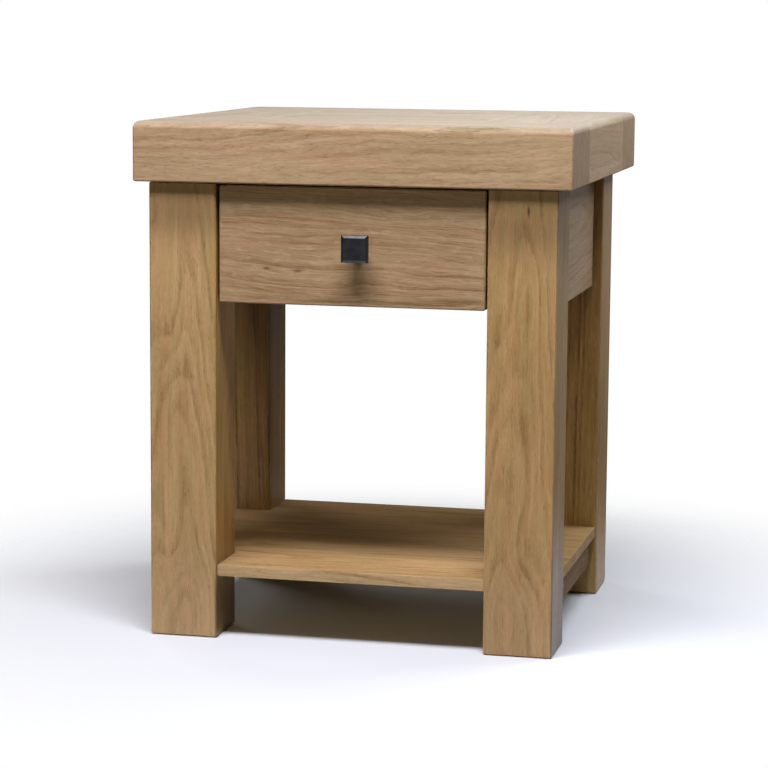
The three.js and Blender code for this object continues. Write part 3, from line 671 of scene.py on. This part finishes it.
def nylon_material():
    """Dark brown moulded nylon with a matt, slightly scuffed skin."""
    material, web, shader = new_material("nylon")
    skin = object_noise(web, (4.0, 4.0, 4.0), 2.0)
    scuff = object_noise(web, (0.4, 0.15, 0.4), 3.0)
    color = web.mix(web.ease(scuff, 0.5, 0.7), *NYLON_COLORS)
    web.feed(shader.inputs["Base Color"], color)
    web.feed(shader.inputs["Roughness"], web.ease(scuff, 0.4, 0.7, 0.52, 0.72))
    web.feed(shader.inputs["Normal"], web.bump(web.times(skin, 0.03)))
    return material


def dress_glides():
    nylon = nylon_material()
    for row in ("front", "rear"):
        for side in ("left", "right"):
            dress(f"glide_{row}_{side}", nylon)


# ------------------------------------------------------------------ screws with a cross recess
SCREW_SIDES = 40
# Shares of the head's radius unless noted.
RECESS_RADIUS, RECESS_DEPTH = 0.62, 0.55
RECESS_AT_FACE = (1.0, 0.26)               # length and breadth of an arm, shares of the recess's radius
RECESS_AT_BOTTOM = (0.35, 0.16)
RECESS_PROUD = 0.3                         # how far the cutter stands out of the face, share of its depth
FLAT_RIM = [(0.94, 0.0), (1.0, 0.06), (1.0, 0.12)]
FLAT_SHANK, FLAT_HEAD, FLAT_POINT = 0.5, 0.75, 1.25
PAN_SHANK, PAN_CROWN, PAN_HEAD, PAN_FLATTEN = 0.44, 0.56, 0.556, 0.6
PAN_ANGLES = (0.5, 0.9, 1.25, 1.5)         # radians round the dome


def lathe(profile, steps=SCREW_SIDES):
    """A closed mesh turned about Z from (radius, height) points that start and end on the axis."""
    shape = bmesh.new()
    start = shape.verts.new((0, 0, profile[0][1]))
    end = shape.verts.new((0, 0, profile[-1][1]))
    rings = []
    circle = [math.tau * step / steps for step in range(steps)]
    for radius, height in profile[1:-1]:
        points = [(radius * math.cos(angle), radius * math.sin(angle), height) for angle in circle]
        rings.append([shape.verts.new(point) for point in points])
    for step in range(steps):
        after = (step + 1) % steps
        shape.faces.new((start, rings[0][after], rings[0][step]))
        for low, high in zip(rings, rings[1:]):
            shape.faces.new((low[step], low[after], high[after], high[step]))
        shape.faces.new((end, rings[-1][step], rings[-1][after]))
    bmesh.ops.recalc_face_normals(shape, faces=shape.faces)
    return shape


def cross_recess(radius, deep):
    """A tapered cross, wide at the head's face and narrow inside: two crossed wedges."""
    shape = bmesh.new()
    for turn in (0.0, math.pi / 2):
        wedge = bmesh.ops.create_cube(shape, size=1.0)["verts"]
        for vert in wedge:
            inside = vert.co.z > 0
            reach, breadth = RECESS_AT_BOTTOM if inside else RECESS_AT_FACE
            corner = Vector((
                math.copysign(radius * reach, vert.co.x),
                math.copysign(radius * breadth, vert.co.y),
                deep if inside else -deep * RECESS_PROUD,
            ))
            corner.rotate(Matrix.Rotation(turn, 3, "Z"))
            vert.co = corner
    return shape


def as_object(shape, name):
    mesh = bpy.data.meshes.new(name)
    shape.to_mesh(mesh)
    shape.free()
    made = bpy.data.objects.new(name, mesh)
    bpy.context.collection.objects.link(made)
    return made


def carve(piece, cutter):
    """Takes the cutter out of the piece for good."""
    cut = piece.modifiers.new("cut", "BOOLEAN")
    cut.operation = "DIFFERENCE"
    cut.solver = "EXACT"
    cut.use_self = True
    cut.object = cutter
    bpy.context.view_layer.update()
    seen = piece.evaluated_get(bpy.context.evaluated_depsgraph_get())
    finished = bpy.data.meshes.new_from_object(seen)
    piece.modifiers.clear()
    piece.data = finished
    bpy.data.objects.remove(cutter)


def flat_head_profile(radius, length):
    """Countersunk head, a shank half as wide, and a point."""
    rim = [(radius * out, radius * up) for out, up in FLAT_RIM]
    shank = radius * FLAT_SHANK
    sides = [(shank, radius * FLAT_HEAD), (shank, length - radius * FLAT_POINT)]
    return [(0, 0), *rim, *sides, (0, length)]


def pan_head_profile(radius, length):
    """Rounded head and a plain shank."""
    crown, shank, head = radius * PAN_CROWN, radius * PAN_SHANK, radius * PAN_HEAD
    dome = [(radius * math.sin(a), crown * (1 - math.cos(a)) * PAN_FLATTEN) for a in PAN_ANGLES]
    rim = [(radius, crown * PAN_FLATTEN), (radius, head)]
    return [(0, 0), *dome, *rim, (shank, head), (shank, length), (0, length)]


def make_screw(node, profile_of, axis, material):
    """Stands for the plain screw of the frame: same place and size, with a cross in its head."""
    low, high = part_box(node)
    size = high - low
    length = max(size)
    radius = min(size) / 2
    screw = as_object(lathe(profile_of(radius, length)), f"{node}_fine")
    recess = cross_recess(radius * RECESS_RADIUS, radius * RECESS_DEPTH)
    carve(screw, as_object(recess, "recess"))
    turn = UP.rotation_difference(axis).to_matrix().to_4x4()
    head_face = (low + high) / 2 - axis * length / 2
    screw.data.transform(Matrix.Translation(head_face) @ turn)
    screw.data.materials.clear()
    screw.data.materials.append(material)
    soften(screw)
    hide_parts(node)
    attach(screw, frame["nodes"][node]["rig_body"])


def make_screws():
    zinc = zinc_material()
    for node in sorted(frame["nodes"]):
        if node == "knob_screw":
            make_screw(node, pan_head_profile, Vector((0, -1, 0)), zinc)
        elif "_screw_" in node:
            make_screw(node, flat_head_profile, UP, zinc)


# ------------------------------------------------------------------ surface of the pieces
SMOOTH_LIMIT = math.radians(30)
BEVEL_LIMIT = math.radians(25)
FLAT_LIMIT = math.radians(0.5)
WELD_DISTANCE = 0.01                       # mm
BEVEL_SEGMENTS = 2
EVEN_WEIGHT = 100                          # large faces rule the shading of small ones beside them
ROUNDED = {                                # mm, how far the arrises of a piece are rounded
    "top_": 0.35, "leg_": 0.6, "apron_": 0.4, "shelf_rail_": 0.4, "shelf_board_": 0.3,
    "drawer_front": 0.6, "knob": 0.5,
}
PLAIN = ("screw", "batten")                # these keep sharp edges, whatever their names start with


def smoothing_group():
    """Shades flat across edges sharper than the limit and smooth across the rest."""
    tree = bpy.data.node_groups.new("smooth_by_angle", "GeometryNodeTree")
    tree.interface.new_socket(name="Geometry", in_out="INPUT", socket_type="NodeSocketGeometry")
    tree.interface.new_socket(name="Geometry", in_out="OUTPUT", socket_type="NodeSocketGeometry")
    web = Web(tree)
    entry = tree.nodes.new("NodeGroupInput")
    end = tree.nodes.new("NodeGroupOutput")
    faces = web.node("GeometryNodeSetShadeSmooth", {"Geometry": entry.outputs[0]}, domain="FACE")
    angle = web.node("GeometryNodeInputMeshEdgeAngle", {}).outputs[0]
    gentle = web.node("FunctionNodeCompare", {0: angle, 1: SMOOTH_LIMIT}, operation="LESS_EQUAL")
    edges = web.node(
        "GeometryNodeSetShadeSmooth",
        {"Geometry": faces.outputs[0], "Shade Smooth": gentle.outputs[0]},
        domain="EDGE",
    )
    web.feed(end.inputs[0], edges.outputs[0])
    return tree


SMOOTHING = smoothing_group()


def soften(piece, round_by=0.0):
    """Rounds a piece's arrises by round_by millimetres and shades its curved faces smoothly."""
    weld = piece.modifiers.new("weld", "WELD")
    weld.merge_threshold = WELD_DISTANCE * MM
    if round_by:
        flat = piece.modifiers.new("flat", "DECIMATE")
        flat.decimate_type = "DISSOLVE"
        flat.angle_limit = FLAT_LIMIT
        bevel = piece.modifiers.new("round", "BEVEL")
        bevel.width = round_by * MM
        bevel.segments = BEVEL_SEGMENTS
        bevel.limit_method = "ANGLE"
        bevel.angle_limit = BEVEL_LIMIT
    smooth = piece.modifiers.new("smooth", "NODES")
    smooth.node_group = SMOOTHING
    if round_by:
        even = piece.modifiers.new("even", "WEIGHTED_NORMAL")
        even.keep_sharp = True
        even.weight = EVEN_WEIGHT


def soften_all():
    for node, piece in frame["nodes"].items():
        rounds = [size for start, size in ROUNDED.items() if node.startswith(start)]
        plain = any(word in node for word in PLAIN)
        soften(piece, 0.0 if plain or not rounds else rounds[0])


# ------------------------------------------------------------------ floor, light, camera
FLOOR_RADIUS = 6.0                         # m
FLOOR_SIDES = 96
FLOOR_COLOR = (0.58, 0.58, 0.57, 1)
FLOOR_FADE = (0.28, 0.85)                  # m from the middle, where it starts to clear and is gone
ROOM_WHITE = (1, 1, 1, 1)
ROOM_GLOW = (1.0, 0.86, 0.68, 1)           # the warm light that the room itself throws on the table
ROOM_GLOW_STRENGTH = 0.05


def make_floor():
    """A pale disc that clears away with distance into the white room."""
    mesh = bpy.data.meshes.new("floor")
    shape = bmesh.new()
    bmesh.ops.create_circle(shape, cap_ends=True, segments=FLOOR_SIDES, radius=FLOOR_RADIUS)
    shape.to_mesh(mesh)
    shape.free()
    floor = bpy.data.objects.new("floor", mesh)
    bpy.context.collection.objects.link(floor)
    material, web, shader = new_material("floor")
    shader.inputs["Base Color"].default_value = FLOOR_COLOR
    shader.inputs["Roughness"].default_value = 0.9
    shader.inputs["Specular IOR Level"].default_value = 0.1
    place = web.node("ShaderNodeTexCoord", {}).outputs["Object"]
    fade = web.ease(web.length(place), *FLOOR_FADE)
    clear = web.node("ShaderNodeBsdfTransparent", {}).outputs[0]
    mixed = web.node("ShaderNodeMixShader", {0: fade, 1: shader.outputs[0], 2: clear}).outputs[0]
    web.feed(material.node_tree.nodes["Material Output"].inputs["Surface"], mixed)
    mesh.materials.append(material)


def make_world():
    """A white room that lights the table only softly."""
    world = bpy.data.worlds.new("studio")
    bpy.context.scene.world = world
    world.use_nodes = True
    web = Web(world.node_tree)
    path = web.node("ShaderNodeLightPath", {}).outputs["Is Camera Ray"]
    dim = web.node("ShaderNodeBackground", {0: ROOM_GLOW, 1: ROOM_GLOW_STRENGTH}).outputs[0]
    white = web.node("ShaderNodeBackground", {0: ROOM_WHITE, 1: 1.0}).outputs[0]
    mixed = web.node("ShaderNodeMixShader", {0: path, 1: dim, 2: white}).outputs[0]
    web.feed(world.node_tree.nodes["World Output"].inputs["Surface"], mixed)


# Points that the lights are aimed at, in metres.
MIDDLE = (0.0, 0.0, 0.35)
FRONT = (0.0, -0.23, 0.40)
ABOVE = (0.0, 0.0, 0.60)
RIGHT = (0.24, 0.0, 0.40)
# Angles in degrees round the target, distance and size in metres, power in watts.
LIGHTS = {
    "key": dict(
        target=FRONT, azimuth=4, elevation=69, distance=1.8, size=(1.35, 0.5), power=72,
        color=(0.98, 1.0, 1.15), glossy=False,
    ),
    "glint": dict(
        target=FRONT, azimuth=-13, elevation=51, distance=2.0, size=(0.5, 0.5), power=6,
        diffuse=False,
    ),
    "front_fill": dict(
        target=MIDDLE, azimuth=0, elevation=13, distance=3.4, size=(0.5, 0.5), power=10.5,
        color=(1.0, 0.87, 0.54),
    ),
    "side_fill": dict(
        target=ABOVE, azimuth=118, elevation=38, distance=1.2, size=(0.7, 0.6), power=13,
        color=(0.97, 1.05, 1.20),
    ),
    "rear_fill": dict(
        target=MIDDLE, azimuth=228, elevation=8, distance=2.6, size=(1.0, 0.8), power=26,
        glossy=False,
    ),
    "backdrop": dict(
        target=ABOVE, azimuth=190, elevation=12, distance=1.9, size=(2.6, 0.55), power=0.17,
        spread=28,
    ),
    "side_sheen": dict(
        target=RIGHT, azimuth=166, elevation=6, distance=1.8, size=(0.9, 1.2), power=0.07,
        spread=36,
    ),
}


def area_light(name, target, azimuth, elevation, distance, size, power, color=(1, 1, 1),
               spread=180, diffuse=True, glossy=True):
    """A rectangular softbox, placed round its target."""
    data = bpy.data.lights.new(name, "AREA")
    data.shape = "RECTANGLE"
    data.size, data.size_y = size
    data.energy = power
    data.color = color
    data.spread = math.radians(spread)
    light = bpy.data.objects.new(name, data)
    bpy.context.collection.objects.link(light)
    turn, rise = math.radians(azimuth), math.radians(elevation)
    level = math.cos(rise)
    back = Vector((math.sin(turn) * level, -math.cos(turn) * level, math.sin(rise)))
    light.location = Vector(target) + back * distance
    light.rotation_euler = back.to_track_quat("Z", "Y").to_euler()
    light.visible_camera = False
    light.visible_diffuse = diffuse
    light.visible_glossy = glossy


def make_lights():
    for name, spec in LIGHTS.items():
        area_light(name, **spec)


CAMERA_TARGET = Vector((-0.0144, 0.0, 0.2678))
CAMERA_AZIMUTH = 13.09                     # degrees round to the right
CAMERA_ELEVATION = 8.15
CAMERA_ROLL = 0.42
CAMERA_DISTANCE = 3.107                    # m
CAMERA_LENS = 120.54                       # mm
SENSOR_WIDTH = 36                          # mm


def make_camera():
    data = bpy.data.cameras.new("camera")
    data.sensor_width = SENSOR_WIDTH
    data.lens = CAMERA_LENS
    camera = bpy.data.objects.new("camera", data)
    bpy.context.collection.objects.link(camera)
    yaw = math.radians(CAMERA_AZIMUTH)
    tilt = math.radians(90 - CAMERA_ELEVATION)
    turn = Matrix.Rotation(yaw, 4, "Z") @ Matrix.Rotation(tilt, 4, "X")
    turn = turn @ Matrix.Rotation(math.radians(CAMERA_ROLL), 4, "Z")
    back = turn.to_3x3() @ UP
    camera.matrix_world = Matrix.Translation(CAMERA_TARGET + back * CAMERA_DISTANCE) @ turn
    bpy.context.scene.camera = camera


# ------------------------------------------------------------------ the scene
make_camera()
dress_legs_and_rails()
dress_aprons_and_drawer_front()
dress_top()
dress_shelf()
dress_softwood()
dress_drawer_bottom()
dress("knob", iron_material())
dress_glides()
soften_all()
make_screws()
make_floor()
make_world()
make_lights()
bpy.context.scene.view_settings.view_transform = "Standard"
